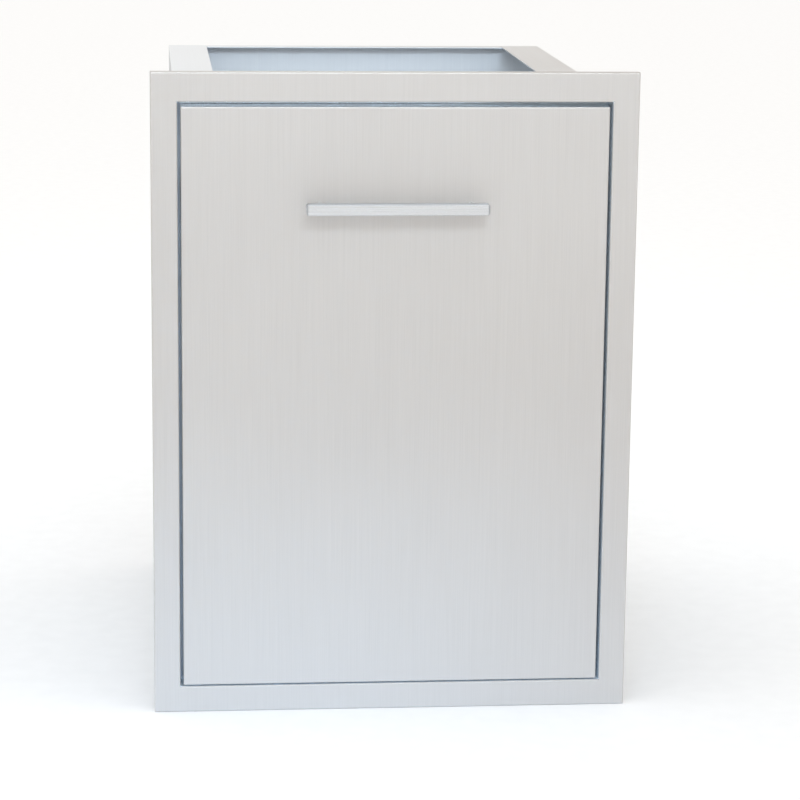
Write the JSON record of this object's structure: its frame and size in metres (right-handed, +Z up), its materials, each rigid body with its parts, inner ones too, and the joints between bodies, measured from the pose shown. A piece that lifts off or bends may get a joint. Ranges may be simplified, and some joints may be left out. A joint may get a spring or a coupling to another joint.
{
  "type": "built-in pull-out waste drawer",
  "caption": "Built-in stainless pull-out waste drawer: open-top sheet housing with a flush trim frame, bar-handled front on ball slides, hanging lift-out bins.",
  "frame": {"origin": "mid width, where the underside of the housing meets the plane of the cabinet face; the lower front edge of the cut-out", "axes": "+X to the right seen from the front, +Y back into the cabinet, +Z up; the drawer opens along -Y"},
  "size_m": [0.514, 0.6459, 0.694],
  "materials": {
    "brushed_front": "satin, fine vertical brush lines",
    "housing_sheet": "mill finish, dull",
    "carrier_sheet": "satin",
    "handle_steel": "fine satin, brighter than the front",
    "zinc_rail": "bright zinc plate",
    "ball_steel": "polished",
    "fasteners": "bright",
    "bumper_rubber": "matt",
    "black_plastic": "matt",
    "bin_plastic": "fine-grained moulded polypropylene"
  },
  "bodies": {
    "cabinet": {"trim_frame": "brushed_front", "left_side_panel": "housing_sheet", "right_side_panel": "housing_sheet", "rear_panel": "housing_sheet", "bottom_panel": "housing_sheet", "panel_rivets": "fasteners", "stop_bumpers": "bumper_rubber", "left_cabinet_rail": "zinc_rail", "right_cabinet_rail": "zinc_rail", "cabinet_rail_screws": "fasteners", "slide_end_stops": "black_plastic"},
    "left_middle": {"left_middle_rail": "zinc_rail"},
    "right_middle": {"right_middle_rail": "zinc_rail"},
    "left_outer_cage": {"left_outer_ball_cage": "ball_steel"},
    "right_outer_cage": {"right_outer_ball_cage": "ball_steel"},
    "left_inner_cage": {"left_inner_ball_cage": "ball_steel"},
    "right_inner_cage": {"right_inner_ball_cage": "ball_steel"},
    "drawer": {"drawer_front_panel": "brushed_front", "drawer_front_liner": "housing_sheet", "liner_screws": "fasteners", "handle_bar": "handle_steel", "handle_posts": "handle_steel", "handle_backing_plate": "zinc_rail", "handle_screws": "fasteners", "left_drawer_rail": "zinc_rail", "right_drawer_rail": "zinc_rail", "drawer_rail_screws": "fasteners", "left_carrier_rail": "carrier_sheet", "right_carrier_rail": "carrier_sheet", "front_cross_rail": "carrier_sheet", "center_cross_rail": "carrier_sheet", "rear_cross_rail": "carrier_sheet", "carrier_rivets": "fasteners", "left_front_bracket": "carrier_sheet", "right_front_bracket": "carrier_sheet", "bracket_screws": "fasteners"},
    "left_lever": {"left_release_lever": "black_plastic"},
    "right_lever": {"right_release_lever": "black_plastic"},
    "front_bin": {"front_bin": "bin_plastic"},
    "rear_bin": {"rear_bin": "bin_plastic"}
  },
  "joints": [
    {"name": "drawer_slide", "type": "slide", "parent": "cabinet", "child": "drawer", "axis": [0, -1, 0], "range_m": [0, 0.54]},
    {"name": "left_middle_slide", "type": "slide", "parent": "cabinet", "child": "left_middle", "axis": [0, -1, 0], "range_m": [0, 0.27]},
    {"name": "right_middle_slide", "type": "slide", "parent": "cabinet", "child": "right_middle", "axis": [0, -1, 0], "range_m": [0, 0.27]},
    {"name": "left_outer_cage_roll", "type": "slide", "parent": "cabinet", "child": "left_outer_cage", "axis": [0, -1, 0], "range_m": [0, 0.135]},
    {"name": "right_outer_cage_roll", "type": "slide", "parent": "cabinet", "child": "right_outer_cage", "axis": [0, -1, 0], "range_m": [0, 0.135]},
    {"name": "left_inner_cage_roll", "type": "slide", "parent": "cabinet", "child": "left_inner_cage", "axis": [0, -1, 0], "range_m": [0, 0.405]},
    {"name": "right_inner_cage_roll", "type": "slide", "parent": "cabinet", "child": "right_inner_cage", "axis": [0, -1, 0], "range_m": [0, 0.405]},
    {"name": "left_lever_press", "type": "hinge", "parent": "drawer", "child": "left_lever", "pos_m": [-0.2189, 0.152, 0.5277], "axis": [-1, 0, 0], "range_deg": [0, 6], "stiffness_Nm_per_rad": 0.02, "springref_deg": -5.73},
    {"name": "right_lever_press", "type": "hinge", "parent": "drawer", "child": "right_lever", "pos_m": [0.2189, 0.152, 0.5277], "axis": [1, 0, 0], "range_deg": [0, 6], "stiffness_Nm_per_rad": 0.02, "springref_deg": -5.73},
    {"name": "front_bin_lift", "type": "slide", "parent": "drawer", "child": "front_bin", "axis": [0, 0, 1], "range_m": [0, 0.46]},
    {"name": "rear_bin_lift", "type": "slide", "parent": "drawer", "child": "rear_bin", "axis": [0, 0, 1], "range_m": [0, 0.46]}
  ],
  "couplings": [
    {"joint": "left_middle_slide", "follows": "drawer_slide", "ratio": 0.5},
    {"joint": "right_middle_slide", "follows": "drawer_slide", "ratio": 0.5},
    {"joint": "left_outer_cage_roll", "follows": "drawer_slide", "ratio": 0.25},
    {"joint": "right_outer_cage_roll", "follows": "drawer_slide", "ratio": 0.25},
    {"joint": "left_inner_cage_roll", "follows": "drawer_slide", "ratio": 0.75},
    {"joint": "right_inner_cage_roll", "follows": "drawer_slide", "ratio": 0.75}
  ]
}
